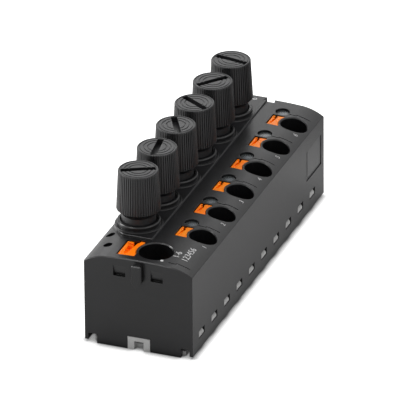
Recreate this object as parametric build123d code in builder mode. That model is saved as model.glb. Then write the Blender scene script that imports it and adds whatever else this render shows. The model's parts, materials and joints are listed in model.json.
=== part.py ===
from build123d import *
import math
import os

# Power distribution block: one round feed entry at the front, six fused
# outlets behind it.  X runs across the block with the outlet entries at +X,
# Y runs along it from the feed end at -Y, Z is up, and the origin is the
# middle of the footprint on the surface that the block stands on.  All in mm.

# outer form of the housing
body_w = 28.6
body_l = 93.8
corner_z = 22.7
shoulder_z = 24.72
crown_z = 25.05
shoulder_w = 5.8
skirt_gap = 0.7
side_wall = 0.9
end_wall = 1.2
edge_break = 0.25

half_w = body_w / 2
half_l = body_l / 2
front_y = -half_l
crown_half = half_w - shoulder_w
inner_x = half_w - side_wall
inner_y = half_l - end_wall

# channels along the block, one per fused outlet
channels = 6
first_channel = 18.3
last_channel = 10.8
pitch = (body_l - first_channel - last_channel) / (channels - 1)
channel_ys = [front_y + first_channel + pitch * k for k in range(channels)]

# cartridge fuse, 5 mm by 20 mm
fuse_z0 = 6.35
fuse_len = 20.0
fuse_end_r = 2.6
fuse_end_len = 5.0
fuse_wall = 0.22
glass_r = fuse_end_r - fuse_wall
glass_bore_r = 1.75
fuse_wire_r = 0.15
fuse_z1 = fuse_z0 + fuse_len

# fuse well, its tube below and its collar above the deck
cap_inset = 7.47
cap_x = cap_inset - half_w
well_r = 4.7
tube_r = well_r + 0.9
tube_z0 = 5.8
collar_r = well_r + 0.75
collar_z = 26.7
collar_foot_r = well_r + 1.35
collar_foot_h = 0.14
collar_root_z = corner_z

# raised deck that carries the collars
deck_x0 = cap_x - 3.77
deck_x1 = cap_x + 6.23
deck_y0 = front_y + 11.3
deck_z = 25.4
deck_root = 1.0
deck_round = 3.4

# fuse cap
cap_top_z = 40.3
cap_gap = 1.74
cap_skirt_r = (pitch - cap_gap) / 2
cap_top_r = cap_skirt_r - 0.55
cap_wide_z = 29.8
cap_under_z = 28.4
neck_r = well_r - 0.37
thread_clear = 0.08
thread_r = well_r - thread_clear
thread_z0 = 20.0
thread_z1 = 26.0
thread_lead = 0.3
ribs = 54
rib_depth = 0.24
rib_flat = 0.42
rib_valley = 0.22
grip_top = 0.16
rim_r = cap_top_r - 0.2
ring_rs = [cap_top_r - 2.7, cap_top_r - 1.65, cap_top_r - 0.6]
ring_half = 0.2
ring_lead = 0.08
ring_deep = 0.24
slot_w = 1.6
slot_depth = 1.7
slot_half = cap_top_r - 0.65
slot_angles = [27, 98, -62, -31, 51, -10]

# contact sleeve inside the cap
sleeve_clear = 0.06
sleeve_in_r = fuse_end_r + sleeve_clear
sleeve_out_r = 3.2
sleeve_gap = 0.05
sleeve_z1 = fuse_z1 + sleeve_gap
sleeve_lid = 0.7
band_r = 4.4
band_z0 = 17.4
band_z1 = thread_z0

# outlet entries, release buttons and indicator lenses
hole_x = half_w - 4.35
hole_y = 0.45
hole_w = 6.8
hole_l = 6.5
lens_x = hole_x - 4.8
lens_y = pitch / 2 - 1.17
lens_r = 1.7
lens_seat_r = 1.85
lens_sink = 0.5
lens_len = 1.8
button_x0 = hole_x - 6.5
button_x1 = hole_x - 3.4
button_y0 = -2.25
button_y1 = lens_y - lens_seat_r - 0.5
button_top_z = 24.75
guide_clear = 0.1
rim_w = 0.6
notch_in = 0.6
notch_w = 0.85
notch_len = 1.3
notch_deep = 1.8
ramp_len = 1.9
ramp_deep = 0.6
foot_z = 15.25
foot_side = 0.3
foot_l = 6.2
foot_gap = 0.2
groove_x0 = hole_x - 2.8
groove_kink_x = hole_x - 0.9
groove_x1 = hole_x + 2.8
groove_y = lens_y - 0.5
front_groove_y = 2.4
groove_w = 0.28
groove_step = 0.35
groove_depth = 0.35
groove_parts = 4

# feed entry and its button
feed_x = 2.4
feed_y = front_y + 6.3
feed_r = 4.3
feed_button_x0 = feed_x - 8.8
feed_button_x1 = feed_x - 4.2
feed_button_y0 = front_y + 2.15
feed_button_y1 = front_y + 9.6
feed_prong = 0.8
feed_notch_in = 1.75
feed_notch_w = 1.35
feed_notch_len = 1.9
feed_notch_deep = 2.2
feed_ramp_len = 3.4
feed_ramp_deep = 0.9
feed_foot_z = 15.3
feed_foot_side = 0.4
feed_foot_l = 8.4

# the prong between the notch and the entry reaches further back
feed_prong_x0 = feed_button_x0 + feed_notch_in + feed_notch_w
feed_prong_x = (feed_prong_x0 + feed_button_x1) / 2
feed_prong_w = feed_button_x1 - feed_prong_x0

# two probe holes beside the feed button
probe_r = 1.15
probe_depth = 3.0
probe_spots = [(2.2 - half_w, front_y + 12.6), (3.85 - half_w, front_y + 6.5)]

# cavities
ceiling_z = 21.3
block_z = 17.2
block_x = hole_x - 7.8
rib = 1.0
tray_z = 1.5
perimeter_x = inner_x - 1.6
perimeter_z = 6.3

# base plate and its latches
plate_t = 1.3
plate_half_x = inner_x - 1.4
plate_half_y = inner_y - 0.1
tongue_x0 = plate_half_x
tongue_x1 = inner_x - 0.25
tongue_root = 0.5
tongue_w = 3.3
tongue_z = 5.6
nose_x = half_w - 0.15
nose_z0 = 3.85
nose_flat_z = 4.4
windows = 10
window_first = 6.25
window_last = 8.53
window_pitch = (body_l - window_first - window_last) / (windows - 1)
window_w = 3.9
window_z0 = 3.7
window_z1 = 5.75
window_ys = [front_y + window_first + window_pitch * k for k in range(windows)]
bracket_half = 2.95
bracket_leg = 1.7
bracket_z = 3.45
bracket_bar = 1.1
bracket_clear = 0.1
corner_notch_x = inner_x - 2.3
corner_notch_z = 2.5

# end key, socket and catches
key_w = 2.75
key_edge = 0.3
key_root_w = 1.9
key_out = 1.6
key_z0 = 18.1
key_point = 1.3
key_z1 = 24.1
socket_clear = 0.12
socket_z0 = 17.6
catch_x0 = 3.35
catch_x1 = 6.55
catch_z0 = 19.85
catch_z1 = 22.9
catch_depth = 0.75
catch_out = 0.55
catch_clear = 0.2
field_y0 = half_l - 12.8
field_y1 = half_l - 2.0
field_z0 = 9.9
field_z1 = 18.3
field_sink = 0.2

# feed strip, bent up under every fuse
bar_t = 1.0
bus_half = 2.5
bus_clear = 0.3
bus_z = 3.3
bus_top = bus_z + bar_t
bus_arch_half = 1.9
bus_arch_z = fuse_z0
bus_y0 = front_y + 2.0
bus_y1 = half_l - 3.3

# outlet strips and their clamp springs
out_t = 0.8
out_half = 2.25
out_z = 8.9
out_top = out_z + out_t
finger_x = cap_x + band_r + 0.06
finger_top = band_z1 - 0.4
finger_z = band_z0 - 0.2
finger_drop = 1.4
finger_bend = 0.42
finger_slot_clear = 0.4
out_left_x = finger_x + 1.47
out_riser_x = inner_x - 1.1
out_riser_z = 16.4
ear_l = 0.6
ear_w = 1.6
spring_t = 0.4
spring_half = 2.0
spring_radius = 1.4
spring_off = 0.25
spring_foot_x = hole_x - 4.4
spring_bend_x = hole_x - 5.0
spring_tip_z = 11.6

# feed contact strip and its clamp spring
feed_bar_half = 3.6
feed_riser_x = feed_x + feed_r + 0.3
feed_riser_z = 16.4
feed_left_x = 2.8 - inner_x
feed_left_z = feed_foot_z - 1.3
feed_spring_t = 0.6
feed_spring_half = 3.0
feed_spring_radius = 2.0
feed_spring_off = 0.4
feed_spring_tip = (feed_riser_x - 0.35, 9.2)

# supports that stand on the base plate
strut_w = 1.6
feed_strut_y = front_y + 6.0
feed_strut_w = 2.0
pillar_w = 2.2
pillar_l = 3.0
pillar_xs = (out_left_x + 2.5, out_riser_x - 2.7)
feed_pillar_w = 3.0
feed_pillar_l = 4.0

# fuse-failure lamp below each lens
led_r = 1.5
led_clear = 0.05
led_dome = 1.0
led_z0 = 18.0
led_z1 = 22.2
lead_r = 0.22
lead_gap = 1.28
lead_root = 0.5
lead_bend = 0.8
lead_land = 0.6

over = 1.0
tiny = 0.01


def top_z(x):
    # height of the curved top at x: a flat crown arc, then a tighter shoulder
    sag = crown_z - shoulder_z
    crown_r = (crown_half ** 2 + sag ** 2) / (2 * sag)
    if abs(x) <= crown_half:
        return crown_z - crown_r + math.sqrt(crown_r ** 2 - x ** 2)
    lean = math.asin(crown_half / crown_r)
    chord = math.hypot(half_w - crown_half, shoulder_z - corner_z)
    fall = math.atan2(shoulder_z - corner_z, half_w - crown_half)
    shoulder_r = chord / (2 * math.sin(fall - lean))
    cx = crown_half - shoulder_r * math.sin(lean)
    cz = shoulder_z - shoulder_r * math.cos(lean)
    return cz + math.sqrt(shoulder_r ** 2 - (abs(x) - cx) ** 2)


def polar(r, degrees):
    return (r * math.cos(math.radians(degrees)), r * math.sin(math.radians(degrees)))


def rib_outline(r):
    # one flat crest and one flat valley per rib
    points = []
    for k in range(ribs):
        at = 360 / ribs * k
        crest = 360 / ribs * rib_flat / 2
        valley = 360 / ribs * (0.5 - rib_valley / 2)
        points.append(polar(r, at - crest))
        points.append(polar(r, at + crest))
        points.append(polar(r - rib_depth, at + valley))
        points.append(polar(r - rib_depth, at + 360 / ribs - valley))
    return points


def finish(name, part):
    part.label = name
    export_step(part, f"parts/{name}.step")


def place(part, y, x=0, turn=0):
    return part.moved(Location((x, y, 0), (0, 0, turn)))


os.makedirs("parts", exist_ok=True)

# collar of one fuse well, turned about its own axis
with BuildPart() as collar:
    with BuildSketch(Plane.XZ):
        with BuildLine():
            Polyline(
                (0, collar_root_z),
                (collar_foot_r, collar_root_z),
                (collar_foot_r, deck_z + collar_foot_h / 2),
                (collar_foot_r - collar_foot_h / 2, deck_z + collar_foot_h),
                (collar_r, deck_z + collar_foot_h),
                (collar_r, collar_z - edge_break),
                (collar_r - edge_break, collar_z),
                (0, collar_z),
                close=True,
            )
        make_face()
    revolve(axis=Axis.Z, revolution_arc=360)

# deck with its feed corner rounded and its upper edges broken
with BuildPart() as deck:
    with BuildSketch(Plane.XY.offset(shoulder_z - deck_root)):
        with Locations(((deck_x0 + deck_x1) / 2, (deck_y0 + half_l) / 2)):
            Rectangle(deck_x1 - deck_x0, half_l - deck_y0)
        feed_corner = vertices().group_by(Axis.X)[0].sort_by(Axis.Y)[0]
        fillet(feed_corner, radius=deck_round)
    extrude(amount=deck_z - shoulder_z + deck_root)
    chamfer(deck.faces().sort_by(Axis.Z)[-1].edges(), length=edge_break / 2)

# housing
with BuildPart() as housing:
    # outer shell: arched section drawn once and run along the block
    with BuildSketch(Plane.XZ.offset(-half_l)):
        with BuildLine():
            crown = ThreePointArc(
                (-crown_half, shoulder_z), (0, crown_z), (crown_half, shoulder_z)
            )
            right = TangentArc(crown @ 1, (half_w, corner_z), tangent=crown % 1)
            left = TangentArc(
                crown @ 0, (-half_w, corner_z), tangent=(crown % 0) * -1
            )
            Polyline(right @ 1, (half_w, 0), (-half_w, 0), left @ 1)
        make_face()
    extrude(amount=body_l)
    chamfer(housing.edges().filter_by(GeomType.CIRCLE), length=edge_break)
    add(deck.part)
    with Locations(*[(cap_x, y) for y in channel_ys]):
        add(collar.part)
    # open bottom: shallow tray, then one chamber per channel and one for the feed
    with BuildSketch(Plane.XY):
        Rectangle(2 * inner_x, 2 * inner_y)
    extrude(amount=tray_z, mode=Mode.SUBTRACT)
    with BuildSketch(Plane.XY):
        with Locations(*[(0, y) for y in channel_ys]):
            Rectangle(2 * inner_x, pitch - rib)
    extrude(amount=block_z, mode=Mode.SUBTRACT)
    with BuildSketch(Plane.XY):
        with Locations(*[((block_x - inner_x) / 2, y) for y in channel_ys]):
            Rectangle(inner_x + block_x, pitch - rib)
    extrude(amount=ceiling_z, mode=Mode.SUBTRACT)
    feed_room_y1 = channel_ys[0] - pitch / 2 - rib / 2
    with BuildSketch(Plane.XY):
        with Locations((0, (feed_room_y1 - inner_y) / 2)):
            Rectangle(2 * inner_x, feed_room_y1 + inner_y)
    extrude(amount=block_z, mode=Mode.SUBTRACT)
    far_room_y0 = channel_ys[-1] + pitch / 2 + rib / 2
    with BuildSketch(Plane.XY):
        with Locations((0, (far_room_y0 + inner_y) / 2)):
            Rectangle(2 * inner_x, inner_y - far_room_y0)
    extrude(amount=ceiling_z, mode=Mode.SUBTRACT)
    # room for the latch tongues along both walls
    with BuildSketch(Plane.XY):
        for side in (-1, 1):
            with Locations((side * (perimeter_x + inner_x) / 2, 0)):
                Rectangle(inner_x - perimeter_x, 2 * inner_y)
    extrude(amount=perimeter_z, mode=Mode.SUBTRACT)
    # passage for the feed strip through every rib
    with BuildSketch(Plane.XY):
        with Locations((cap_x, 0)):
            Rectangle(2 * (bus_half + bus_clear), 2 * inner_y)
    extrude(amount=bus_top, mode=Mode.SUBTRACT)
    # fuse tubes hang from the deck
    with BuildSketch(Plane.XY.offset(tube_z0)):
        with Locations(*[(cap_x, y) for y in channel_ys]):
            Circle(tube_r)
    extrude(amount=ceiling_z - tube_z0)
    with BuildSketch(Plane.XY):
        with Locations(*[(cap_x, y) for y in channel_ys]):
            Circle(well_r)
    extrude(amount=cap_top_z, mode=Mode.SUBTRACT)
    # contact finger passes through a slot in each tube
    finger_slot_x0 = finger_x - finger_slot_clear
    finger_slot_x1 = out_left_x + guide_clear
    with BuildSketch(Plane.XY.offset(tube_z0)):
        with Locations(*[((finger_slot_x0 + finger_slot_x1) / 2, y) for y in channel_ys]):
            Rectangle(finger_slot_x1 - finger_slot_x0, 2 * (out_half + guide_clear))
    extrude(amount=ceiling_z - tube_z0, mode=Mode.SUBTRACT)
    # outlet entries
    with BuildSketch(Plane.XY):
        with Locations(*[(hole_x, y + hole_y) for y in channel_ys]):
            SlotOverall(hole_w, hole_l)
    extrude(amount=crown_z + over, mode=Mode.SUBTRACT)
    entry_rims = housing.edges(Select.LAST).filter_by(lambda e: e.center().Z > ceiling_z)
    chamfer(entry_rims, length=edge_break)
    # feed entry
    with BuildSketch(Plane.XY):
        with Locations((feed_x, feed_y)):
            Circle(feed_r)
    extrude(amount=crown_z + over, mode=Mode.SUBTRACT)
    entry_rims = housing.edges(Select.LAST).filter_by(lambda e: e.center().Z > ceiling_z)
    chamfer(entry_rims, length=edge_break)
    # button guides, each with one side curved round its entry
    for y in channel_ys:
        with BuildSketch(Plane.XY):
            with Locations(((button_x0 + button_x1) / 2, y + (button_y0 + button_y1) / 2)):
                Rectangle(
                    button_x1 - button_x0 + 2 * guide_clear,
                    button_y1 - button_y0 + 2 * guide_clear,
                )
            with Locations((hole_x, y + hole_y)):
                SlotOverall(
                    hole_w + 2 * (rim_w - guide_clear),
                    hole_l + 2 * (rim_w - guide_clear),
                    mode=Mode.SUBTRACT,
                )
        extrude(amount=crown_z + over, mode=Mode.SUBTRACT)
    with BuildSketch(Plane.XY):
        with Locations(
            (
                (feed_button_x0 + feed_button_x1) / 2,
                (feed_button_y0 + feed_button_y1) / 2,
            )
        ):
            Rectangle(
                feed_button_x1 - feed_button_x0 + 2 * guide_clear,
                feed_button_y1 - feed_button_y0 + 2 * guide_clear,
            )
        with Locations((feed_prong_x, feed_button_y1)):
            Rectangle(feed_prong_w + 2 * guide_clear, 2 * (feed_prong + guide_clear))
        with Locations((feed_x, feed_y)):
            Circle(feed_r + rim_w - guide_clear, mode=Mode.SUBTRACT)
    extrude(amount=crown_z + over, mode=Mode.SUBTRACT)
    # lens seats, with the lamp's own bore below
    with BuildSketch(Plane.XY.offset(block_z - over)):
        with Locations(*[(lens_x, y + lens_y) for y in channel_ys]):
            Circle(led_r + led_clear)
    extrude(amount=crown_z, mode=Mode.SUBTRACT)
    with BuildSketch(Plane.XY.offset(top_z(lens_x) - lens_sink - lens_len)):
        with Locations(*[(lens_x, y + lens_y) for y in channel_ys]):
            Circle(lens_seat_r)
    extrude(amount=lens_len + 2 * over, mode=Mode.SUBTRACT)
    # probe holes
    with BuildSketch(Plane.XY.offset(top_z(probe_spots[0][0]) - probe_depth)):
        with Locations(*probe_spots):
            Circle(probe_r)
    extrude(amount=probe_depth + 3 * over, mode=Mode.SUBTRACT)
    # thin marker slits across the outlet shoulder, each with a small step
    for y in [front_y + front_groove_y] + [c + groove_y for c in channel_ys]:
        for x0, x1, dy in (
            (groove_x0, groove_kink_x + groove_w, 0),
            (groove_kink_x, groove_x1, groove_step),
        ):
            xs = [x0 + (x1 - x0) * i / groove_parts for i in range(groove_parts + 1)]
            floor = [(x, top_z(x) - groove_depth) for x in xs]
            with BuildSketch(Plane.XZ.offset(-(y + dy))):
                with BuildLine():
                    Polyline(*floor, (x1, crown_z + over), (x0, crown_z + over), close=True)
                make_face()
            extrude(amount=groove_w, mode=Mode.SUBTRACT)
    # side skirts stop short of the surface
    for side in (-1, 1):
        with BuildSketch(Plane.XY):
            with Locations((side * (half_w + inner_x) / 2, 0)):
                Rectangle(side_wall + 2 * tiny, body_l + over)
        extrude(amount=skirt_gap, mode=Mode.SUBTRACT)
    # latch windows
    for side in (-1, 1):
        with BuildSketch(Plane.YZ.offset(side * (half_w + inner_x) / 2)):
            with Locations(*[(y, (window_z0 + window_z1) / 2) for y in window_ys]):
                Rectangle(window_w, window_z1 - window_z0)
        extrude(amount=side_wall, both=True, mode=Mode.SUBTRACT)
    # end walls: corner notches and the bracket opening
    for end in (-1, 1):
        with BuildSketch(Plane.XZ.offset(-end * (half_l + inner_y) / 2)):
            for side in (-1, 1):
                with Locations((side * (corner_notch_x + inner_x) / 2, corner_notch_z / 2)):
                    Rectangle(inner_x - corner_notch_x, corner_notch_z)
            with Locations((0, (bracket_z + bracket_clear) / 2)):
                Rectangle(2 * (bracket_half + bracket_clear), bracket_z + bracket_clear)
        extrude(amount=end_wall, both=True, mode=Mode.SUBTRACT)
    # key on the feed end, pointed at its foot, wider at the front than at the wall
    with BuildSketch(Plane.XY.offset(key_z0)):
        with BuildLine():
            Polyline(
                (-key_root_w / 2, front_y + tiny),
                (-key_w / 2, front_y - key_out + key_edge),
                (key_edge - key_w / 2, front_y - key_out),
                (key_w / 2 - key_edge, front_y - key_out),
                (key_w / 2, front_y - key_out + key_edge),
                (key_root_w / 2, front_y + tiny),
                close=True,
            )
        make_face()
    extrude(amount=key_z1 - key_z0)
    key_top = housing.faces(Select.LAST).sort_by(Axis.Z)[-1]
    key_front = key_top.edges().filter_by(lambda e: e.center().Y < front_y - tiny)
    chamfer(key_front, length=key_edge)
    for side in (-1, 1):
        with BuildSketch(Plane.XZ.offset(half_l)):
            with BuildLine():
                Polyline(
                    (0, key_z0),
                    (side * key_w, key_z0 + 2 * key_point),
                    (side * key_w, key_z0 - over),
                    (0, key_z0 - over),
                    close=True,
                )
            make_face()
        extrude(amount=key_out + over, mode=Mode.SUBTRACT)
    # matching socket in the far end, open at the top
    with BuildSketch(Plane.XY.offset(socket_z0)):
        with BuildLine():
            Polyline(
                (-key_root_w / 2 - socket_clear, half_l + tiny),
                (-key_w / 2 - socket_clear, half_l - key_out - socket_clear),
                (key_w / 2 + socket_clear, half_l - key_out - socket_clear),
                (key_root_w / 2 + socket_clear, half_l + tiny),
                close=True,
            )
        make_face()
    extrude(amount=deck_z, mode=Mode.SUBTRACT)
    # ramped catch pockets in the feed end and ramped catches on the far end
    for side in (-1, 1):
        catch_mid = side * (catch_x0 + catch_x1) / 2
        with BuildSketch(Plane.YZ.offset(catch_mid)):
            with BuildLine():
                Polyline(
                    (front_y - tiny, catch_z0),
                    (front_y + catch_depth, catch_z0),
                    (front_y - tiny, catch_z1),
                    close=True,
                )
            make_face()
        extrude(amount=(catch_x1 - catch_x0) / 2, both=True, mode=Mode.SUBTRACT)
        with BuildSketch(Plane.YZ.offset(catch_mid)):
            with BuildLine():
                Polyline(
                    (half_l - tiny, catch_z0 + catch_clear),
                    (half_l + catch_out, catch_z0 + catch_clear),
                    (half_l - tiny, catch_z1 - 2 * catch_clear),
                    close=True,
                )
            make_face()
        extrude(amount=(catch_x1 - catch_x0) / 2 - catch_clear, both=True)
    # shallow marking field on the outlet side
    with BuildSketch(Plane.YZ.offset(half_w - field_sink)):
        with Locations(((field_y0 + field_y1) / 2, (field_z0 + field_z1) / 2)):
            Rectangle(field_y1 - field_y0, field_z1 - field_z0)
    extrude(amount=over, mode=Mode.SUBTRACT)
finish("housing", housing.part)

# base plate
with BuildPart() as base_plate:
    with BuildSketch(Plane.XY):
        Rectangle(2 * plate_half_x, 2 * plate_half_y)
    extrude(amount=plate_t)
    # tongues with ramped noses that catch in the side windows
    for side in (-1, 1):
        for y in window_ys:
            with BuildSketch(Plane.XZ.offset(-y)):
                with BuildLine():
                    Polyline(
                        (side * (plate_half_x - tongue_root), 0),
                        (side * tongue_x1, 0),
                        (side * tongue_x1, nose_z0),
                        (side * nose_x, nose_z0),
                        (side * nose_x, nose_flat_z),
                        (side * tongue_x1, tongue_z),
                        (side * tongue_x0, tongue_z),
                        (side * tongue_x0, plate_t),
                        (side * (plate_half_x - tongue_root), plate_t),
                        close=True,
                    )
                make_face()
            extrude(amount=tongue_w / 2, both=True)
    # brackets that fill the openings in the end walls
    for end in (-1, 1):
        with BuildSketch(Plane.XZ.offset(-end * (plate_half_y + half_l) / 2)):
            with Locations((0, bracket_z / 2)):
                Rectangle(2 * bracket_half, bracket_z)
            with Locations((0, (bracket_z - bracket_bar) / 2)):
                Rectangle(
                    2 * (bracket_half - bracket_leg),
                    bracket_z - bracket_bar,
                    mode=Mode.SUBTRACT,
                )
        extrude(amount=(half_l - plate_half_y) / 2 + tiny, both=True)
    # cross ribs that press the feed strip up, and pillars under the outlet strips
    with BuildSketch(Plane.XY.offset(plate_t)):
        with Locations(*[(cap_x, y + pitch / 2) for y in channel_ys]):
            Rectangle(2 * bus_half, strut_w)
        with Locations((cap_x, feed_strut_y)):
            Rectangle(2 * bus_half, feed_strut_w)
    extrude(amount=bus_z - plate_t)
    with BuildSketch(Plane.XY.offset(plate_t)):
        with Locations(*[(x, y) for x in pillar_xs for y in channel_ys]):
            Rectangle(pillar_w, pillar_l)
    extrude(amount=out_z - plate_t)
    with BuildSketch(Plane.XY.offset(plate_t)):
        with Locations((feed_x, feed_y)):
            Rectangle(feed_pillar_w, feed_pillar_l)
    extrude(amount=bus_top - plate_t)
finish("base_plate", base_plate.part)

# feed strip: one bent strip with a raised landing under every fuse
with BuildPart() as feed_busbar:
    rise = bus_arch_z - bus_top
    bend = bar_t * math.tan(math.pi / 8)
    upper = [(bus_y0, bus_top)]
    lower = [(bus_y0, bus_z)]
    for y in channel_ys:
        for side in (-1, 1):
            foot = (y + side * (bus_arch_half + rise), bus_top)
            head = (y + side * bus_arch_half, bus_arch_z)
            foot_under = (y + side * (bus_arch_half + rise - bend), bus_z)
            head_under = (y + side * (bus_arch_half - bend), bus_arch_z - bar_t)
            upper += [foot, head][::-side]
            lower += [foot_under, head_under][::-side]
    upper.append((bus_y1, bus_top))
    lower.append((bus_y1, bus_z))
    with BuildSketch(Plane.YZ.offset(cap_x)):
        with BuildLine():
            Polyline(*upper, *reversed(lower), close=True)
        make_face()
    extrude(amount=bus_half, both=True)
finish("feed_busbar", feed_busbar.part)

# feed contact: lies on the feed strip and rises beside the conductor
with BuildPart() as feed_bar:
    with BuildSketch(Plane.XZ.offset(-feed_y)):
        with BuildLine():
            Polyline(
                (feed_left_x, bus_top),
                (feed_riser_x + bar_t, bus_top),
                (feed_riser_x + bar_t, feed_riser_z),
                (feed_riser_x, feed_riser_z),
                (feed_riser_x, bus_top + bar_t),
                (feed_left_x + bar_t, bus_top + bar_t),
                (feed_left_x + bar_t, feed_left_z),
                (feed_left_x, feed_left_z),
                close=True,
            )
        make_face()
    extrude(amount=feed_bar_half, both=True)
finish("feed_bar", feed_bar.part)

# feed clamp spring: a bent leaf whose tip presses on the riser
with BuildPart() as feed_spring:
    spring_low_z = bus_top + bar_t + feed_spring_t / 2
    spring_left_x = feed_left_x + bar_t + feed_spring_off
    spring_top_z = feed_foot_z - feed_spring_off
    with BuildSketch(Plane.XZ.offset(-feed_y)):
        with BuildLine():
            FilletPolyline(
                (feed_x - 1.4, spring_low_z),
                (spring_left_x, spring_low_z),
                (spring_left_x, spring_top_z),
                (feed_x - 4.0, spring_top_z),
                feed_spring_tip,
                radius=feed_spring_radius,
            )
        trace(line_width=feed_spring_t)
    extrude(amount=feed_spring_half, both=True)
finish("feed_spring", feed_spring.part)


def driver_ramp(x_left, x_point, y_far, length, deep):
    # sloped guide in a button's top: deepest beside the notch, level at the left
    start = Vector(x_left, y_far, button_top_z)
    near = Vector(x_point, y_far - length, button_top_z)
    low = Vector(x_point, y_far, button_top_z - deep)
    normal = (near - start).cross(low - start)
    if normal.Z < 0:
        normal = normal * -1
    with BuildPart() as ramp:
        with BuildSketch(Plane.XY.offset(button_top_z - deep - tiny)):
            with BuildLine():
                Polyline(
                    (x_left, y_far + tiny),
                    (x_point, y_far - length),
                    (x_point, y_far + tiny),
                    close=True,
                )
            make_face()
        extrude(amount=2 * deep)
        split(bisect_by=Plane(origin=start, z_dir=normal), keep=Keep.TOP)
    return ramp.part


# feed button: stem shaped like its guide, stepped foot that rests on the spring
feed_ramp = driver_ramp(
    feed_button_x0 + edge_break,
    feed_button_x0 + feed_notch_in + feed_notch_w / 2,
    feed_button_y1 - feed_notch_len / 2,
    feed_ramp_len,
    feed_ramp_deep,
)
with BuildPart() as feed_button:
    mid_x = (feed_button_x0 + feed_button_x1) / 2
    with BuildSketch(Plane.XY.offset(feed_foot_z)):
        with Locations((mid_x, (feed_button_y0 + feed_button_y1) / 2)):
            Rectangle(feed_button_x1 - feed_button_x0, feed_button_y1 - feed_button_y0)
        with Locations((feed_prong_x, feed_button_y1)):
            Rectangle(feed_prong_w, 2 * feed_prong)
        with Locations((feed_x, feed_y)):
            Circle(feed_r + rim_w, mode=Mode.SUBTRACT)
    extrude(amount=button_top_z - feed_foot_z)
    chamfer(feed_button.faces().sort_by(Axis.Z)[-1].edges(), length=edge_break)
    with BuildSketch(Plane.XY.offset(feed_foot_z)):
        with Locations((mid_x - feed_foot_side, feed_y)):
            Rectangle(feed_button_x1 - feed_button_x0 + feed_foot_side, feed_foot_l)
        with Locations((feed_x, feed_y)):
            Circle(feed_r + rim_w, mode=Mode.SUBTRACT)
    extrude(amount=block_z - foot_gap - feed_foot_z)
    add(feed_ramp, mode=Mode.SUBTRACT)
    # pointed driver notch in the far edge
    notch_x = feed_button_x0 + feed_notch_in
    with BuildSketch(Plane.XY.offset(button_top_z - feed_notch_deep)):
        with BuildLine():
            Polyline(
                (notch_x, feed_button_y1 + tiny),
                (notch_x + feed_notch_w, feed_button_y1 + tiny),
                (notch_x + feed_notch_w / 2, feed_button_y1 - feed_notch_len),
                close=True,
            )
        make_face()
    extrude(amount=feed_notch_deep + over, mode=Mode.SUBTRACT)
finish("feed_button", feed_button.part)

# cap: ribbed grip, cone below it, plain neck, thread land inside the collar
with BuildPart() as fuse_cap:
    for z, r in ((cap_wide_z, cap_skirt_r), (cap_top_z - grip_top, cap_top_r)):
        with BuildSketch(Plane.XY.offset(z)):
            with BuildLine():
                Polyline(*rib_outline(r), close=True)
            make_face()
    loft(ruled=True)
    # crown of the cap: flat top with three ring grooves and a broken rim
    crown_line = [(0, cap_top_z)]
    for r in ring_rs:
        crown_line.append((r - ring_half, cap_top_z))
        crown_line.append((r - ring_half + ring_lead, cap_top_z - ring_deep))
        crown_line.append((r + ring_half - ring_lead, cap_top_z - ring_deep))
        crown_line.append((r + ring_half, cap_top_z))
    crown_line.append((rim_r, cap_top_z))
    crown_line.append((cap_top_r - rib_depth / 2, cap_top_z - grip_top))
    crown_line.append((cap_top_r - rib_depth / 2, cap_top_z - 2 * grip_top - ring_deep))
    crown_line.append((0, cap_top_z - 2 * grip_top - ring_deep))
    with BuildSketch(Plane.XZ):
        with BuildLine():
            Polyline(*crown_line, close=True)
        make_face()
        with BuildLine():
            Polyline(
                (0, cap_wide_z + tiny),
                (cap_skirt_r - rib_depth / 2, cap_wide_z + tiny),
                (cap_skirt_r - rib_depth / 2, cap_wide_z),
                (neck_r, cap_under_z),
                (neck_r, thread_z1),
                (thread_r, thread_z1 - thread_lead),
                (thread_r, thread_z0),
                (0, thread_z0),
                close=True,
            )
        make_face()
    revolve(axis=Axis.Z, revolution_arc=360)
    with BuildSketch(Plane.XY.offset(thread_z0)):
        Circle(sleeve_out_r)
    extrude(amount=sleeve_z1 + sleeve_lid - thread_z0, mode=Mode.SUBTRACT)
    with BuildSketch(Plane.XY.offset(cap_top_z - slot_depth)):
        Rectangle(2 * slot_half, slot_w)
    extrude(amount=slot_depth + over, mode=Mode.SUBTRACT)

# contact sleeve pressed into the cap, with a band at its foot
with BuildPart() as cap_sleeve:
    with BuildSketch(Plane.XZ):
        with BuildLine():
            Polyline(
                (0, sleeve_z1),
                (sleeve_in_r, sleeve_z1),
                (sleeve_in_r, band_z0),
                (band_r, band_z0),
                (band_r, band_z1),
                (sleeve_out_r, band_z1),
                (sleeve_out_r, sleeve_z1 + sleeve_lid),
                (0, sleeve_z1 + sleeve_lid),
                close=True,
            )
        make_face()
    revolve(axis=Axis.Z, revolution_arc=360)

with BuildPart() as fuse_glass:
    with BuildSketch(Plane.XY.offset(fuse_z0 + fuse_wall)):
        Circle(glass_r)
        Circle(glass_bore_r, mode=Mode.SUBTRACT)
    extrude(amount=fuse_len - 2 * fuse_wall)

# two end cups joined by the melting wire
with BuildPart() as fuse_element:
    with BuildSketch(Plane.XY.offset(fuse_z0)):
        Circle(fuse_wire_r)
    extrude(amount=fuse_len)
    for base, inward in ((fuse_z0, 1), (fuse_z1, -1)):
        with BuildSketch(Plane.XY.offset(base)):
            Circle(fuse_end_r)
        extrude(amount=inward * fuse_wall)
        with BuildSketch(Plane.XY.offset(base)):
            Circle(fuse_end_r)
            Circle(glass_r, mode=Mode.SUBTRACT)
        extrude(amount=inward * fuse_end_len)

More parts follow.
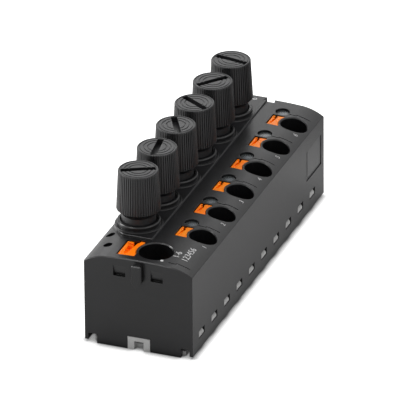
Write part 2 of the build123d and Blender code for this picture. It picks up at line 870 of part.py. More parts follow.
# outlet strip: finger on the sleeve band, down, across, up beside the conductor
with BuildPart() as outlet_bar:
    with BuildSketch(Plane.XZ):
        with BuildLine():
            Polyline(
                (finger_x, finger_top),
                (finger_x, finger_z),
                (out_left_x, finger_z - finger_drop),
                (out_left_x, out_z),
                (out_riser_x + out_t, out_z),
                (out_riser_x + out_t, out_riser_z),
                (out_riser_x, out_riser_z),
                (out_riser_x, out_top),
                (out_left_x + out_t, out_top),
                (out_left_x + out_t, finger_z - finger_drop + finger_bend),
                (finger_x + out_t, finger_z + finger_bend),
                (finger_x + out_t, finger_top),
                close=True,
            )
        make_face()
    extrude(amount=out_half, both=True)
    # ear that the lamp's lead lands on
    with BuildSketch(Plane.XY.offset(out_z)):
        with Locations((lens_x + lead_gap / 2, (out_half + lens_y + ear_l) / 2)):
            Rectangle(ear_w, lens_y + ear_l - out_half + 2 * tiny)
    extrude(amount=out_t)

with BuildPart() as clamp_spring:
    with BuildSketch(Plane.XZ):
        with BuildLine():
            FilletPolyline(
                (spring_foot_x, out_top + spring_t / 2),
                (out_left_x + out_t + spring_off, out_top + spring_t / 2),
                (out_left_x + out_t + spring_off, foot_z - spring_off),
                (spring_bend_x, foot_z - spring_off),
                (out_riser_x - spring_off, spring_tip_z),
                radius=spring_radius,
            )
        trace(line_width=spring_t)
    extrude(amount=spring_half, both=True)

outlet_ramp = driver_ramp(
    button_x0 + edge_break / 2,
    button_x0 + notch_in + notch_w / 2,
    button_y1 - notch_len / 2,
    ramp_len,
    ramp_deep,
)
with BuildPart() as outlet_button:
    mid_x = (button_x0 + button_x1) / 2
    with BuildSketch(Plane.XY.offset(foot_z)):
        with Locations((mid_x, (button_y0 + button_y1) / 2)):
            Rectangle(button_x1 - button_x0, button_y1 - button_y0)
        with Locations((hole_x, hole_y)):
            SlotOverall(hole_w + 2 * rim_w, hole_l + 2 * rim_w, mode=Mode.SUBTRACT)
    extrude(amount=button_top_z - foot_z)
    top_edges = outlet_button.faces().sort_by(Axis.Z)[-1].edges()
    chamfer(top_edges, length=edge_break / 2)
    with BuildSketch(Plane.XY.offset(foot_z)):
        with Locations((mid_x - foot_side, 0)):
            Rectangle(button_x1 - button_x0, foot_l)
        with Locations((hole_x, hole_y)):
            SlotOverall(hole_w + 2 * rim_w, hole_l + 2 * rim_w, mode=Mode.SUBTRACT)
    extrude(amount=block_z - foot_gap - foot_z)
    add(outlet_ramp, mode=Mode.SUBTRACT)
    notch_x = button_x0 + notch_in
    with BuildSketch(Plane.XY.offset(button_top_z - notch_deep)):
        with BuildLine():
            Polyline(
                (notch_x, button_y1 + tiny),
                (notch_x + notch_w, button_y1 + tiny),
                (notch_x + notch_w / 2, button_y1 - notch_len),
                close=True,
            )
        make_face()
    extrude(amount=notch_deep + over, mode=Mode.SUBTRACT)

with BuildPart() as lens:
    with BuildSketch(Plane.XY.offset(top_z(lens_x) - lens_sink - lens_len)):
        with Locations((lens_x, lens_y)):
            Circle(lens_r)
    extrude(amount=lens_len)

with BuildPart() as lamp:
    with BuildSketch(Plane.XY.offset(led_z0)):
        with Locations((lens_x, lens_y)):
            Circle(led_r)
    extrude(amount=led_z1 - led_z0)
    fillet(lamp.faces().sort_by(Axis.Z)[-1].edges(), radius=led_dome)
    # long lead to the feed strip, short lead to the outlet strip's ear
    with BuildLine():
        run = FilletPolyline(
            (lens_x - lead_gap / 2, lens_y, led_z0 + lead_root),
            (lens_x - lead_gap / 2, lens_y, bus_top + lead_r),
            (cap_x + bus_half - lead_land, lens_y, bus_top + lead_r),
            radius=lead_bend,
        )
    with BuildSketch(Plane(origin=run @ 0, z_dir=run % 0)):
        Circle(lead_r)
    sweep(path=run)
    with BuildSketch(Plane.XY.offset(out_top)):
        with Locations((lens_x + lead_gap / 2, lens_y)):
            Circle(lead_r)
    extrude(amount=led_z0 - out_top + lead_root)

# the six outlets
for n, y in enumerate(channel_ys, start=1):
    finish(f"fuse_cap_{n}", place(fuse_cap.part, y, cap_x, slot_angles[n - 1]))
    finish(f"cap_sleeve_{n}", place(cap_sleeve.part, y, cap_x))
    finish(f"fuse_glass_{n}", place(fuse_glass.part, y, cap_x))
    finish(f"fuse_element_{n}", place(fuse_element.part, y, cap_x))
    finish(f"outlet_bar_{n}", place(outlet_bar.part, y))
    finish(f"clamp_spring_{n}", place(clamp_spring.part, y))
    finish(f"outlet_button_{n}", place(outlet_button.part, y))
    finish(f"lens_{n}", place(lens.part, y))
    finish(f"lamp_{n}", place(lamp.part, y))
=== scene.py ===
import json
import math

import bmesh
import bpy
from mathutils import Matrix, Vector
from mathutils.bvhtree import BVHTree


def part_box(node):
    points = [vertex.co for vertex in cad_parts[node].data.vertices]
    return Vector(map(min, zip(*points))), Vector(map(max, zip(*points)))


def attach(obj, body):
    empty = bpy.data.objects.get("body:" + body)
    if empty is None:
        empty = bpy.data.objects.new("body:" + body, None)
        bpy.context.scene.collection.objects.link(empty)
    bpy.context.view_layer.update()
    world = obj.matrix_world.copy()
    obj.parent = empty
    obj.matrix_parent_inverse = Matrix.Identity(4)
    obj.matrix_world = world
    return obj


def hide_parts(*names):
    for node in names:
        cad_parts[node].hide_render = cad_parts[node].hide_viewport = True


# A power distribution block on a pale floor.  Metres, in the frame of the CAD:
# X across towards the outlet entries, Y along from the feed end, Z up.

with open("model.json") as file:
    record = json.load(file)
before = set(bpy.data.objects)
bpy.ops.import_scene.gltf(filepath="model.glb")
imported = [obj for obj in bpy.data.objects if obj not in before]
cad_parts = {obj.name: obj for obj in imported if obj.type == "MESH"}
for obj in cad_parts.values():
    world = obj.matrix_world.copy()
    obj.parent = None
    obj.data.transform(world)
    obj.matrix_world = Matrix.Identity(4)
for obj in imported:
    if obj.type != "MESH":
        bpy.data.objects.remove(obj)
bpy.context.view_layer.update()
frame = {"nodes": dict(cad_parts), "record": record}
nodes = frame["nodes"]
MM = 0.001
outlets = range(1, 7)

# places read from the frame: the near and far corner of each box
housing_low, housing_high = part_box("housing")
cap_low, cap_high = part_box("fuse_cap_1")
lens_low, lens_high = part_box("lens_1")
pitch = (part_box("fuse_cap_6")[0][1] - cap_low[1]) / 5
first_cap_y = (cap_low[1] + cap_high[1]) / 2
end_key_depth = 1.6 * MM
front_wall_y = housing_low[1] + end_key_depth


# materials
def colour(code):
    # sRGB hex to the linear colour that the shader wants
    parts = [int(code[i:i + 2], 16) / 255 for i in (1, 3, 5)]
    linear = [p / 12.92 if p <= 0.04045 else ((p + 0.055) / 1.055) ** 2.4 for p in parts]
    return (*linear, 1.0)


def per_mm(size_mm):
    # texture scale whose features are this many millimetres across
    return 1 / (size_mm * MM)


def node(tree, kind, values=None, links=None, **settings):
    # one node with its settings, the values of its sockets and the links into them
    made = tree.nodes.new(kind)
    for name, value in settings.items():
        setattr(made, name, value)
    for name, value in (values or {}).items():
        made.inputs[name].default_value = value
    for name, socket in (links or {}).items():
        tree.links.new(socket, made.inputs[name])
    return made


def blank(name):
    material = bpy.data.materials.new(name)
    material.use_nodes = True
    tree = material.node_tree
    tree.nodes.clear()
    return material, tree


def grain(tree, size_mm, strength, depth_mm, edge_mm):
    # skin of a moulding: rounded edges first, the fine relief of the mould on top, which is drawn
    # a little coarser than a real mould's so that it shows
    place = node(tree, "ShaderNodeTexCoord").outputs["Object"]
    fine = node(tree, "ShaderNodeTexNoise", {"Scale": per_mm(size_mm), "Detail": 3.0}, {"Vector": place})
    rounded = node(tree, "ShaderNodeBevel", {"Radius": edge_mm * MM}, samples=8)
    relief = node(
        tree, "ShaderNodeBump", {"Strength": strength, "Distance": depth_mm * MM},
        {"Height": fine.outputs["Fac"], "Normal": rounded.outputs["Normal"]},
    )
    return place, fine.outputs["Fac"], relief.outputs["Normal"]


def tone_and_gloss(tree, tones, pattern, reach, rough, texture, normal, settings):
    # one pattern runs the colour between two tones, and a finer one runs the gloss between two values
    tone = node(tree, "ShaderNodeValToRGB", links={"Fac": pattern})
    for stop, position, code in zip(tone.color_ramp.elements, reach, tones):
        stop.position = position
        stop.color = colour(code)
    gloss = node(
        tree, "ShaderNodeMapRange",
        {"From Min": 0.3, "From Max": 0.7, "To Min": rough[0], "To Max": rough[1]}, {"Value": texture},
    )
    shader = node(
        tree, "ShaderNodeBsdfPrincipled", settings,
        {"Base Color": tone.outputs["Color"], "Roughness": gloss.outputs["Result"], "Normal": normal},
    )
    node(tree, "ShaderNodeOutputMaterial", links={"Surface": shader.outputs["BSDF"]})


def moulded(name, tones, rough, grain_mm, depth_mm, edge_mm=0.12, cloud_mm=9.0, **settings):
    # moulded thermoplastic: two close tones in broad clouds, gloss broken by the grain
    material, tree = blank(name)
    place, fine, normal = grain(tree, grain_mm, strength=0.6, depth_mm=depth_mm, edge_mm=edge_mm)
    cloud = node(tree, "ShaderNodeTexNoise", {"Scale": per_mm(cloud_mm), "Detail": 2.0}, {"Vector": place})
    tone_and_gloss(
        tree, tones, pattern=cloud.outputs["Fac"], reach=(0.35, 0.65), rough=rough, texture=fine,
        normal=normal, settings=settings,
    )
    return material


def dull_below(material, height, run, rough):
    # the mould is polished only above this height: duller underneath, with a short run between
    tree = material.node_tree
    shader = next(n for n in tree.nodes if n.type == "BSDF_PRINCIPLED")
    place = next(n for n in tree.nodes if n.type == "TEX_COORD").outputs["Object"]
    gloss = shader.inputs["Roughness"].links[0].from_socket
    at = node(tree, "ShaderNodeSeparateXYZ", links={"Vector": place})
    polish = node(
        tree, "ShaderNodeMapRange", {"From Min": height, "From Max": height + run, "To Min": rough},
        {"Value": at.outputs["Z"], "To Max": gloss},
    )
    tree.links.new(polish.outputs["Result"], shader.inputs["Roughness"])


def worked_metal(name, tones, rough, brush_mm, stretch):
    # drawn or rolled metal: long fine lines along one axis break the reflection
    material, tree = blank(name)
    place = node(tree, "ShaderNodeTexCoord").outputs["Object"]
    drawn = node(tree, "ShaderNodeMapping", {"Scale": stretch}, {"Vector": place})
    lines = node(
        tree, "ShaderNodeTexNoise", {"Scale": per_mm(brush_mm), "Detail": 4.0},
        {"Vector": drawn.outputs["Vector"]},
    ).outputs["Fac"]
    rounded = node(tree, "ShaderNodeBevel", {"Radius": 0.05 * MM}, samples=4)
    relief = node(
        tree, "ShaderNodeBump", {"Strength": 0.25, "Distance": 0.01 * MM},
        {"Height": lines, "Normal": rounded.outputs["Normal"]},
    )
    tone_and_gloss(
        tree, tones, pattern=lines, reach=(0.3, 0.7), rough=rough, texture=lines,
        normal=relief.outputs["Normal"], settings={"Metallic": 1.0},
    )
    return material


def clear_glass():
    # drawn glass tube: clear with a faint green body and slow waves along its length
    material, tree = blank("soda_glass_drawn")
    place = node(tree, "ShaderNodeTexCoord").outputs["Object"]
    waves = node(tree, "ShaderNodeTexNoise", {"Scale": per_mm(3.0), "Detail": 1.0}, {"Vector": place})
    relief = node(
        tree, "ShaderNodeBump", {"Strength": 0.1, "Distance": 0.02 * MM}, {"Height": waves.outputs["Fac"]},
    )
    shader = node(
        tree, "ShaderNodeBsdfPrincipled",
        {"Base Color": colour("#eef6f1"), "Roughness": 0.03, "IOR": 1.52, "Transmission Weight": 1.0},
        {"Normal": relief.outputs["Normal"]},
    )
    node(tree, "ShaderNodeOutputMaterial", links={"Surface": shader.outputs["BSDF"]})
    return material


def smoky_lens():
    # smoky polycarbonate tint, with a painted pale spot of light over the lamp and painted shade darkening
    # it towards the seat, and a faint moulding haze
    material, tree = blank("polycarbonate_smoky")
    place, fine, normal = grain(tree, 0.3, strength=0.5, depth_mm=0.006, edge_mm=0.1)
    painted_light_offset = 0.3 * MM
    painted_light_x = (lens_low[0] + lens_high[0]) / 2 + painted_light_offset
    painted_light_y = (lens_low[1] + lens_high[1]) / 2 - painted_light_offset
    at = node(tree, "ShaderNodeSeparateXYZ", links={"Vector": place})
    across = node(tree, "ShaderNodeMath", {1: painted_light_x}, {0: at.outputs["X"]}, operation="SUBTRACT")
    along = node(tree, "ShaderNodeMath", {1: painted_light_y}, {0: at.outputs["Y"]}, operation="SUBTRACT")
    # every lens in the row repeats the first one
    repeat = node(
        tree, "ShaderNodeMath", {1: pitch / 2, 2: -pitch / 2}, {0: along.outputs[0]}, operation="WRAP",
    )
    offset = node(tree, "ShaderNodeCombineXYZ", links={"X": across.outputs[0], "Y": repeat.outputs[0]})
    reach = node(tree, "ShaderNodeVectorMath", links={0: offset.outputs["Vector"]}, operation="LENGTH")
    # painted shade: the tone darkens from the painted pale spot out to the lens's edge
    ring = node(
        tree, "ShaderNodeMapRange", {"From Max": (lens_high[0] - lens_low[0]) / 2},
        {"Value": reach.outputs["Value"]},
    )
    haze = node(tree, "ShaderNodeMath", {1: 0.2, 2: -0.1}, {0: fine}, operation="MULTIPLY_ADD")
    spread = node(
        tree, "ShaderNodeMath", links={0: ring.outputs["Result"], 1: haze.outputs[0]}, operation="ADD",
    )
    tone_and_gloss(
        tree, ("#70757a", "#363a3b"), pattern=spread.outputs[0], reach=(0.15, 0.85), rough=(0.2, 0.3),
        texture=fine, normal=normal, settings={"Transmission Weight": 0.2, "IOR": 1.585},
    )
    return material


# glass-filled polyamide in a spark-eroded mould: matt black that shows grey in the light
housing_polyamide = moulded(
    "polyamide_spark_eroded_black", ("#101011", "#141416"), rough=(0.28, 0.36),
    grain_mm=0.16, depth_mm=0.02, edge_mm=0.1, **{"Specular IOR Level": 0.41},
)

# the caps come from a smoother mould, so their ribs catch thin bright lines; the neck is duller
cap_polyamide = moulded(
    "polyamide_satin_black", ("#161618", "#1b1b1d"), rough=(0.33, 0.41),
    grain_mm=0.2, depth_mm=0.008, edge_mm=0.05, **{"Specular IOR Level": 0.62},
)
dull_below(cap_polyamide, height=28.0 * MM, run=0.4 * MM, rough=0.52)

# satin orange polyamide: a little light passes into it and comes back redder in the recesses
button_polyamide = moulded(
    "polyamide_satin_orange", ("#ff7b00", "#ff8a06"), rough=(0.3, 0.4),
    grain_mm=0.25, depth_mm=0.008, edge_mm=0.18,
    **{
        "Specular IOR Level": 0.3, "Subsurface Weight": 0.08, "Subsurface Scale": 0.3 * MM,
        "Subsurface Radius": (1.0, 0.35, 0.08),
    },
)

# light-grey polyamide of the base plate: even and slightly silky
base_polyamide = moulded(
    "polyamide_satin_light_grey", ("#b6b6b5", "#c0c0bf"), rough=(0.42, 0.55),
    grain_mm=0.2, depth_mm=0.01,
)

# smooth strip for marks: polished mould, so a touch lighter and silkier than the grain
marking_polyamide = moulded(
    "polyamide_polished_black", ("#242425", "#29292b"), rough=(0.3, 0.38),
    grain_mm=0.3, depth_mm=0.005, edge_mm=0.05, **{"Specular IOR Level": 0.6},
)

# print on the block: off-white pad-printed ink, slightly uneven
print_ink = moulded(
    "pad_print_off_white", ("#bdbdbd", "#d4d4d4"), rough=(0.5, 0.6),
    grain_mm=0.1, depth_mm=0.004, cloud_mm=0.5,
)

# red epoxy of the lamp, cast smooth, so it shines
lamp_epoxy = moulded(
    "epoxy_cast_red", ("#8e2018", "#a8281c"), rough=(0.12, 0.2),
    grain_mm=0.5, depth_mm=0.004, **{"Coat Weight": 0.3},
)

# rolled copper with a dull tin coat: warm grey, lines along the strip
tinned_copper = worked_metal(
    "copper_tinned_rolled", ("#b9aa92", "#d2c6b2"), rough=(0.28, 0.42),
    brush_mm=0.12, stretch=(1.0, 0.08, 1.0),
)

# stainless spring strip, finely rolled: neutral grey with a sharper shine
spring_stainless = worked_metal(
    "stainless_spring_strip", ("#a8a8a8", "#c4c4c2"), rough=(0.2, 0.32),
    brush_mm=0.1, stretch=(0.08, 1.0, 0.08),
)

# nickel over brass, turned: faint lines round the sleeve
nickel_brass = worked_metal(
    "brass_nickel_plated", ("#c9c4b4", "#ded9ca"), rough=(0.16, 0.26),
    brush_mm=0.1, stretch=(1.0, 1.0, 6.0),
)

# nickel end cups of the fuse, pressed and bright
nickel_cups = worked_metal(
    "nickel_pressed_bright", ("#c8c8c6", "#e0e0dd"), rough=(0.12, 0.2),
    brush_mm=0.15, stretch=(1.0, 1.0, 4.0),
)

finish_of_slot = {
    "housing_plastic": housing_polyamide,
    "base_plastic": base_polyamide,
    "button_plastic": button_polyamide,
    "cap_plastic": cap_polyamide,
    "lens_plastic": smoky_lens(),
    "lamp_body": lamp_epoxy,
    "copper": tinned_copper,
    "plated_brass": nickel_brass,
    "spring_steel": spring_stainless,
    "fuse_glass": clear_glass(),
    "fuse_metal": nickel_cups,
}
for subpart in frame["record"]["subparts"]:
    mesh = nodes[subpart["node"]].data
    mesh.materials.clear()
    mesh.materials.append(finish_of_slot[subpart["material_slot"]])


# making of the pieces
def meshed(name, shape):
    # a mesh of this name from a bmesh that is done with
    mesh = bpy.data.meshes.new(name)
    shape.to_mesh(mesh)
    shape.free()
    return mesh


def placed(name, data):
    # an object of this name in the scene, at the origin
    holder = bpy.data.objects.new(name, data)
    bpy.context.collection.objects.link(holder)
    return holder


def settled(holder):
    # the mesh that an object's text or modifiers come to
    bpy.context.view_layer.update()
    return bpy.data.meshes.new_from_object(holder.evaluated_get(bpy.context.evaluated_depsgraph_get()))


def finished(name, mesh, material, body="block"):
    # a piece of the block in its own mesh, with its finish
    mesh.name = name
    mesh.materials.clear()
    mesh.materials.append(material)
    piece = placed(name, mesh)
    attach(piece, body)
    return piece


def raised(shape):
    # pull a flat face up to a closed form, and give back the corners of its top
    pulled = bmesh.ops.extrude_face_region(shape, geom=shape.faces[:])
    return [v for v in pulled["geom"] if isinstance(v, bmesh.types.BMVert)]


def thickened(shape, depth):
    # a flat face becomes a closed plate of this depth
    bmesh.ops.translate(shape, verts=raised(shape), vec=(0, 0, depth))
    bmesh.ops.recalc_face_normals(shape, faces=shape.faces[:])


# printed marks, dropped from above the block on to the housing
housing_shape = bmesh.new()
housing_shape.from_mesh(nodes["housing"].data)
housing_surface = BVHTree.FromBMesh(housing_shape)
housing_shape.free()
drop_height = 50 * MM
ink_depth = 0.012 * MM
ink_lift = 0.01 * MM
# height of a figure as a share of the size that the font is given
figure_share = 0.72


def laid_down(name, mesh, x, y):
    # turn a flat print in XY to lie on the housing below this place, its X along the block
    hit, normal = housing_surface.ray_cast(Vector((x, y, drop_height)), Vector((0, 0, -1)))[:2]
    along = Vector((0, 1, 0))
    turned = Matrix((along, normal.cross(along).normalized(), normal)).transposed().to_4x4()
    mesh.transform(Matrix.Translation(hit + normal * ink_lift) @ turned)
    finished(name, mesh, print_ink)


def printed(name, text, x, y, height):
    # figures of this height, baseline along +Y, their tops towards the caps
    curve = bpy.data.curves.new(name, "FONT")
    curve.body = text
    curve.size = height / figure_share
    curve.align_x = "CENTER"
    curve.align_y = "CENTER"
    curve.extrude = ink_depth
    holder = placed(name + "_text", curve)
    mesh = settled(holder)
    bpy.data.objects.remove(holder)
    laid_down(name, mesh, x, y)


def printed_dot(name, x, y, radius):
    # a round printed mark
    shape = bmesh.new()
    bmesh.ops.create_circle(shape, cap_ends=True, segments=32, radius=radius)
    thickened(shape, ink_depth)
    laid_down(name, meshed(name, shape), x, y)


# a small number beside each entry, on the shoulder
number_x = 12.1 * MM
number_before_cap = 3.94 * MM
number_height = 1.25 * MM
for n in outlets:
    number_y = first_cap_y + pitch * (n - 1) - number_before_cap
    printed(f"number_{n}", str(n), number_x, number_y, number_height)

# a dot and two rows beside the feed entry, and a number at the far end: across from the middle,
# along from the front wall
printed_dot("feed_mark", x=5.45 * MM, y=front_wall_y + 2.34 * MM, radius=0.42 * MM)
for name, figures, x_mm, y_mm, height_mm in [
    ("number_range", "1-6", 7.9, 6.9, 1.7),
    ("number_row", "123456", 10.35, 8.3, 1.7),
    ("number_last", "6", -3.9, 91.8, 1.8),
]:
    printed(name, figures, x_mm * MM, front_wall_y + y_mm * MM, height_mm * MM)


# smooth plate for a marking strip, let into the side near the far end
def marking_plate():
    plate_length = 10.2 * MM
    plate_height = 7.5 * MM
    plate_depth = 0.06 * MM
    corner_cut = 0.4 * MM
    rim = 0.15 * MM
    wall_inset = 0.2 * MM
    from_far_end = 7.3 * MM
    above_floor = 14.35 * MM
    shape = bmesh.new()
    bmesh.ops.create_grid(shape, x_segments=1, y_segments=1, size=0.5)
    bmesh.ops.scale(shape, verts=shape.verts[:], vec=(plate_length, plate_height, 1))
    bmesh.ops.bevel(
        shape, geom=shape.verts[:], offset=corner_cut, affect="VERTICES", segments=3, profile=0.5,
        material=-1,
    )
    thickened(shape, plate_depth)
    top = max(shape.faces, key=lambda face: face.calc_center_median().z)
    bmesh.ops.inset_region(shape, faces=[top], thickness=rim)
    mesh = meshed("marking_plate", shape)
    turned = Matrix(((0, 0, 1), (1, 0, 0), (0, 1, 0))).to_4x4()
    place = (housing_high[0] - wall_inset, housing_high[1] - from_far_end, above_floor)
    mesh.transform(Matrix.Translation(place) @ turned)
    finished("marking_plate", mesh, marking_polyamide)


marking_plate()


# release buttons: the moulding of the CAD with its driver channels cut in
def channel_cutter(corners_mm, top_mm):
    # the channel's sloping floor, pulled straight up past the button's top; only the edges well
    # below that top are rounded
    well_below_mm = 0.5
    floor_round = 0.12 * MM
    shape = bmesh.new()
    shape.faces.new([shape.verts.new(Vector(corner) * MM) for corner in corners_mm])
    for vert in raised(shape):
        vert.co.z = top_mm * MM
    bmesh.ops.recalc_face_normals(shape, faces=shape.faces[:])
    highest = (top_mm - well_below_mm) * MM
    low = [edge for edge in shape.edges if max(v.co.z for v in edge.verts) < highest]
    bmesh.ops.bevel(
        shape, geom=low, offset=floor_round, affect="EDGES", segments=2, profile=0.5, material=-1,
    )
    return placed("channel_cutter", meshed("channel_cutter", shape))


def carved_button(name, channels_mm):
    # channels are measured from the left, front and top of the button's upper face
    flat_mm = 0.01
    weld = 0.001 * MM
    points = [v.co / MM for v in nodes[name].data.vertices]
    top = max(point.z for point in points)
    upper = [point for point in points if point.z > top - flat_mm]
    left = min(point.x for point in upper)
    front = min(point.y for point in upper)
    shape = bmesh.new()
    shape.from_mesh(nodes[name].data)
    bmesh.ops.remove_doubles(shape, verts=shape.verts[:], dist=weld)
    holder = placed(name + "_start", meshed(name + "_start", shape))
    # the cutters end at different heights, so that no two tops lie in one plane
    cutter_top_mm = 26
    cutter_step_mm = 0.3
    used = [holder]
    for n, channel in enumerate(channels_mm):
        corners_mm = [(left + x, front + y, top + z) for x, y, z in channel]
        cutter = channel_cutter(corners_mm, cutter_top_mm + cutter_step_mm * n)
        cut = holder.modifiers.new("channel", "BOOLEAN")
        cut.operation = "DIFFERENCE"
        cut.solver = "EXACT"
        cut.object = cutter
        used.append(cutter)
    mesh = settled(holder)
    for spent in used:
        bpy.data.objects.remove(spent)
    piece = finished(name + "_moulding", mesh, button_polyamide, name)
    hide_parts(name)


# each channel: the two deep corners of its floor, then the two shallow ones
feed_channels_mm = [
    [(0.75, 5.2, -1.2), (2.3, 5.2, -1.2), (2.1, 0.7, -0.1), (1.1, 0.7, -0.1)],
    [(1.45, 7.9, -2.3), (2.83, 7.9, -2.3), (2.35, 4.5, -1.4), (2.05, 4.5, -1.4)],
]
outlet_channels_mm = [[(0.7, 4.3, -0.95), (1.4, 4.3, -0.95), (0.9, 0.7, -0.15), (0.35, 0.7, -0.15)]]
carved_button("feed_button", feed_channels_mm)
for n in outlets:
    carved_button(f"outlet_button_{n}", outlet_channels_mm)


# floor: white to the eye, with a painted shadow that darkens it only where the block stands close
def floor_material():
    material, tree = blank("studio_floor_white")
    place = node(tree, "ShaderNodeTexCoord").outputs["Object"]
    at = node(tree, "ShaderNodeSeparateXYZ", links={"Vector": place})
    path = node(tree, "ShaderNodeLightPath")
    paper = node(tree, "ShaderNodeTexNoise", {"Scale": per_mm(0.8), "Detail": 2.0}, {"Vector": place})
    tone = node(tree, "ShaderNodeValToRGB", links={"Fac": paper.outputs["Fac"]})
    tone.color_ramp.elements[0].color = colour("#dadada")
    tone.color_ramp.elements[1].color = colour("#e0e0e0")
    # painted contact shadow: an occlusion darkening of the floor's colour and glow, narrow beside the block
    # and wider in front of its end wall
    width = node(
        tree, "ShaderNodeMapRange",
        {"From Min": -45 * MM, "From Max": -50 * MM, "To Min": 1.75 * MM, "To Max": 3.1 * MM},
        {"Value": at.outputs["Y"]},
    )
    near = node(
        tree, "ShaderNodeAmbientOcclusion", links={"Distance": width.outputs["Result"]}, samples=16,
    )
    contact = node(tree, "ShaderNodeMath", {1: 2.0}, {0: near.outputs["AO"]}, operation="POWER")
    # painted reflection: only in the block's gloss does the floor end a little way out, past the far end
    # and to the right
    mirrored = node(
        tree, "ShaderNodeMath", operation="MAXIMUM",
        links={0: path.outputs["Is Glossy Ray"], 1: path.outputs["Is Transmission Ray"]},
    ).outputs[0]
    far_right = (0.56, 0.83, 0.0)
    way_out = node(tree, "ShaderNodeVectorMath", {1: far_right}, {0: place}, operation="DOT_PRODUCT")
    beyond = node(
        tree, "ShaderNodeMapRange", {"From Min": 62 * MM, "From Max": 125 * MM, "To Max": 0.9},
        {"Value": way_out.outputs["Value"]},
    )
    painted_reflection_dimming = node(
        tree, "ShaderNodeMath", links={0: beyond.outputs["Result"], 1: mirrored}, operation="MULTIPLY",
    )
    kept = node(tree, "ShaderNodeMath", {0: 1.0}, {1: painted_reflection_dimming.outputs[0]}, operation="SUBTRACT")
    # the painted contact shadow and the painted dimming of the reflection together scale the floor
    light = node(
        tree, "ShaderNodeMath", links={0: contact.outputs[0], 1: kept.outputs[0]}, operation="MULTIPLY",
    ).outputs[0]
    shaded = node(
        tree, "ShaderNodeVectorMath", links={0: tone.outputs["Color"], "Scale": light}, operation="SCALE",
    )
    matt = node(tree, "ShaderNodeBsdfDiffuse", links={"Color": shaded.outputs["Vector"]}).outputs["BSDF"]
    # painted reflection: the gloss also shows it bright on the left, dim on the right, and a little
    # brighter in front
    on_the_left = node(
        tree, "ShaderNodeMapRange",
        {"From Min": -25 * MM, "From Max": -70 * MM, "To Min": 0.06, "To Max": 0.8},
        {"Value": at.outputs["X"]},
    )
    in_front = node(
        tree, "ShaderNodeMapRange", {"From Min": -45 * MM, "From Max": -60 * MM, "To Max": 0.12},
        {"Value": at.outputs["Y"]},
    )
    painted_reflection_glow = node(
        tree, "ShaderNodeMath", links={0: on_the_left.outputs["Result"], 1: in_front.outputs["Result"]},
        operation="ADD",
    )
    level = node(
        tree, "ShaderNodeMapRange", {"To Min": 0.8}, {"Value": mirrored, "To Max": painted_reflection_glow.outputs[0]},
    )
    strength = node(
        tree, "ShaderNodeMath", links={0: light, 1: level.outputs["Result"]}, operation="MULTIPLY",
    )
    glow = node(tree, "ShaderNodeEmission", links={"Strength": strength.outputs[0]})
    glowing = node(tree, "ShaderNodeAddShader", links={0: matt, 1: glow.outputs["Emission"]})
    seen = node(
        tree, "ShaderNodeMath", links={0: path.outputs["Is Camera Ray"], 1: mirrored}, operation="MAXIMUM",
    )
    shader = node(
        tree, "ShaderNodeMixShader", links={0: seen.outputs[0], 1: matt, 2: glowing.outputs["Shader"]},
    )
    node(tree, "ShaderNodeOutputMaterial", links={"Surface": shader.outputs["Shader"]})
    return material


floor_half = 3.0
floor_shape = bmesh.new()
bmesh.ops.create_grid(floor_shape, x_segments=1, y_segments=1, size=floor_half)
floor = placed("floor", meshed("floor", floor_shape))
floor.data.materials.append(floor_material())


# world: white where the eye meets it, with a painted dark horizon in reflections, a plain soft fill
# elsewhere
def studio_world():
    world = bpy.data.worlds.new("studio")
    world.use_nodes = True
    sky = world.node_tree
    sky.nodes.clear()
    white = (1, 1, 1, 1)
    path = node(sky, "ShaderNodeLightPath")
    way = node(sky, "ShaderNodeTexCoord").outputs["Generated"]
    rise = node(sky, "ShaderNodeSeparateXYZ", links={"Vector": way})
    # painted reflection: only in the gloss is the horizon dark to the right and past the far end; lit
    # surfaces get the plain fill
    low = node(
        sky, "ShaderNodeMapRange", {"From Min": 0.36, "From Max": 0.2, "To Max": 0.95},
        {"Value": rise.outputs["Z"]},
    )
    painted_dark_side = (0.866, 0.5, 0.0)
    aside = node(sky, "ShaderNodeVectorMath", {1: painted_dark_side}, {0: way}, operation="DOT_PRODUCT")
    toward_painted_dark = node(
        sky, "ShaderNodeMapRange", {"From Min": 0.55, "From Max": 0.85}, {"Value": aside.outputs["Value"]},
    )
    dim = node(
        sky, "ShaderNodeMath", links={0: low.outputs["Result"], 1: toward_painted_dark.outputs["Result"]},
        operation="MULTIPLY",
    )
    kept = node(sky, "ShaderNodeMath", {0: 1.0}, {1: dim.outputs[0]}, operation="SUBTRACT")
    fill = node(sky, "ShaderNodeBackground", {"Color": white, "Strength": 0.4})
    plain = node(sky, "ShaderNodeBackground", {"Color": white, "Strength": 1.0})
    painted_reflection_sky = node(sky, "ShaderNodeBackground", {"Color": white}, {"Strength": kept.outputs[0]})
    glossy = path.outputs["Is Glossy Ray"]
    shown = node(
        sky, "ShaderNodeMixShader",
        links={0: glossy, 1: plain.outputs["Background"], 2: painted_reflection_sky.outputs["Background"]},
    )
    mirrored = node(
        sky, "ShaderNodeMath", links={0: glossy, 1: path.outputs["Is Transmission Ray"]},
        operation="MAXIMUM",
    )
    seen = node(
        sky, "ShaderNodeMath", operation="MAXIMUM",
        links={0: path.outputs["Is Camera Ray"], 1: mirrored.outputs[0]},
    )
    mixed = node(
        sky, "ShaderNodeMixShader",
        links={0: seen.outputs[0], 1: fill.outputs["Background"], 2: shown.outputs["Shader"]},
    )
    node(sky, "ShaderNodeOutputWorld", links={"Surface": mixed.outputs["Shader"]})
    return world


bpy.context.scene.world = studio_world()


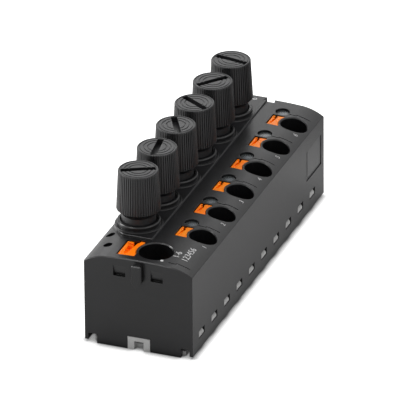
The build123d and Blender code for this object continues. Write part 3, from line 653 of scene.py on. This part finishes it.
def direction(azimuth, elevation):
    # unit vector from the block towards this azimuth and elevation, azimuth 0 at the feed end
    return Vector((
        math.sin(azimuth) * math.cos(elevation),
        -math.cos(azimuth) * math.cos(elevation),
        math.sin(elevation),
    ))


# lamps, all aimed at the middle of the block
middle = Vector((0, 0, 15 * MM))


def softbox(name, azimuth, elevation, distance, width, height, watts):
    # rectangular lamp: degrees round and up, then distance and size in metres
    way = direction(math.radians(azimuth), math.radians(elevation))
    lamp = bpy.data.lights.new(name, "AREA")
    lamp.shape = "RECTANGLE"
    lamp.size = width
    lamp.size_y = height
    lamp.energy = watts
    holder = placed(name, lamp)
    holder.location = middle + way * distance
    holder.rotation_euler = way.to_track_quat("Z", "Y").to_euler()


softbox("lamp_top", azimuth=150, elevation=72, distance=0.9, width=0.7, height=0.7, watts=3.8)
softbox("lamp_front", azimuth=325, elevation=56, distance=0.9, width=0.18, height=0.18, watts=1.0)
softbox("lamp_right", azimuth=75, elevation=38, distance=0.9, width=0.5, height=0.5, watts=0.45)
softbox("lamp_left", azimuth=275, elevation=30, distance=0.9, width=0.2, height=0.3, watts=4.0)
softbox("lamp_back", azimuth=196, elevation=20, distance=1.5, width=0.9, height=0.16, watts=1.0)

# camera: long lens from the front right, as in the photograph
view_azimuth = math.radians(21.12)
view_elevation = math.radians(27.72)
view_roll = math.radians(-0.49)
view_distance = 1941.3 * MM
view_target = Vector((0, -0.9, 12.7)) * MM
away = direction(view_azimuth, view_elevation)
level = Vector((math.cos(view_azimuth), math.sin(view_azimuth), 0))
upward = level.cross(-away)
right = math.cos(view_roll) * level + math.sin(view_roll) * upward
upright = -math.sin(view_roll) * level + math.cos(view_roll) * upward
long_lens = bpy.data.cameras.new("camera")
long_lens.sensor_width = 36
long_lens.lens = 682.0
long_lens.shift_x = -0.0022
long_lens.shift_y = 0.0478
long_lens.clip_end = 20
camera = placed("camera", long_lens)
axes = Matrix((right, upright, away)).transposed().to_4x4()
camera.matrix_world = Matrix.Translation(view_target + away * view_distance) @ axes
bpy.context.scene.camera = camera
bpy.context.scene.view_settings.view_transform = "Standard"
